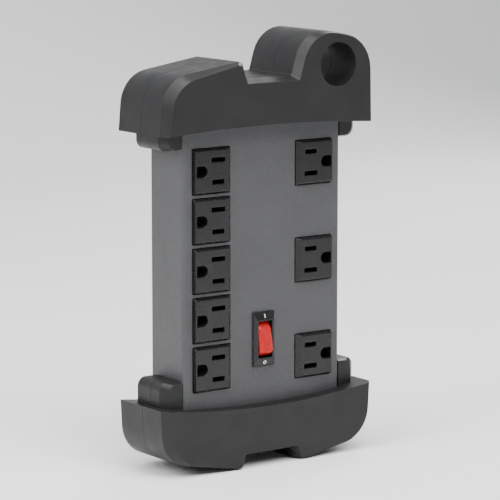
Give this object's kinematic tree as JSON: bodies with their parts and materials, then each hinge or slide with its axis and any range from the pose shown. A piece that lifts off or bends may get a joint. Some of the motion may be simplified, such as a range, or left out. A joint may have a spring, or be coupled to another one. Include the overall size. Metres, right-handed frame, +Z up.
{
  "type": "workshop power strip",
  "caption": "Wall-hung or free-standing power strip: steel body between moulded end caps, grounded outlets, a rocker breaker, a hanging ring and a coiled cord.",
  "frame": {"origin": "on the standing surface, below the middle of the strip without its cord", "axes": "+X to the right seen from the outlets, -Y the way the outlets face, +Z up towards the hanging ring"},
  "size_m": [0.1813, 0.1709, 0.2511],
  "materials": {
    "cap_plastic": "fine-grained moulded, impact-resistant",
    "body_steel": "textured powder coat, charcoal",
    "outlet_plastic": "satin moulded",
    "carrier_plastic": "moulded, natural",
    "rocker_red": "glossy red",
    "contact_brass": "stamped strip",
    "zinc_steel": "zinc plated",
    "cord_jacket": "matt flexible jacket",
    "strap_fabric": "hook and loop strap",
    "wire_black": "insulation",
    "wire_white": "insulation",
    "wire_green": "insulation"
  },
  "bodies": {
    "strip": {"top_cap_front": "cap_plastic", "top_cap_rear": "cap_plastic", "bottom_cap_front": "cap_plastic", "bottom_cap_rear": "cap_plastic", "cap_screw_1": "zinc_steel", "cap_screw_2": "zinc_steel", "cap_screw_3": "zinc_steel", "cap_screw_4": "zinc_steel", "cap_screw_5": "zinc_steel", "cap_screw_6": "zinc_steel", "cap_screw_7": "zinc_steel", "cap_screw_8": "zinc_steel", "cover_screw_1": "zinc_steel", "cover_screw_2": "zinc_steel", "cover_screw_3": "zinc_steel", "cover_screw_4": "zinc_steel", "rocker_pin": "zinc_steel", "ground_nut": "zinc_steel", "body_shell": "body_steel", "back_cover": "body_steel", "outlet_left_1": "outlet_plastic", "outlet_left_2": "outlet_plastic", "outlet_left_3": "outlet_plastic", "outlet_left_4": "outlet_plastic", "outlet_left_5": "outlet_plastic", "outlet_right_1": "outlet_plastic", "outlet_right_2": "outlet_plastic", "outlet_right_3": "outlet_plastic", "breaker_bezel": "outlet_plastic", "breaker_housing": "outlet_plastic", "contact_carrier_left": "carrier_plastic", "contact_carrier_right": "carrier_plastic", "line_bus_left": "contact_brass", "neutral_bus_left": "contact_brass", "ground_bus_left": "contact_brass", "line_bus_right": "contact_brass", "neutral_bus_right": "contact_brass", "ground_bus_right": "contact_brass", "breaker_line_terminal": "contact_brass", "breaker_load_terminal": "contact_brass", "breaker_bimetal": "contact_brass", "ground_ring": "contact_brass", "plug_line_blade": "contact_brass", "plug_neutral_blade": "contact_brass", "plug_ground_pin": "contact_brass", "supply_line_wire": "wire_black", "breaker_load_wire": "wire_black", "cross_line_wire": "wire_black", "supply_neutral_wire": "wire_white", "cross_neutral_wire": "wire_white", "supply_ground_wire": "wire_green", "ground_bus_wire": "wire_green", "cross_ground_wire": "wire_green", "strain_relief": "cord_jacket", "cord_lead": "cord_jacket", "cord_coil": "cord_jacket", "cord_tail": "cord_jacket", "plug_body": "cord_jacket", "cord_tie": "strap_fabric"},
    "rocker": {"breaker_rocker": "rocker_red"}
  },
  "joints": [
    {"name": "rocker_tilt", "type": "hinge", "parent": "strip", "child": "rocker", "pos_m": [0, -0.011, 0.07325], "axis": [1, 0, 0], "range_deg": [0, 20]}
  ]
}
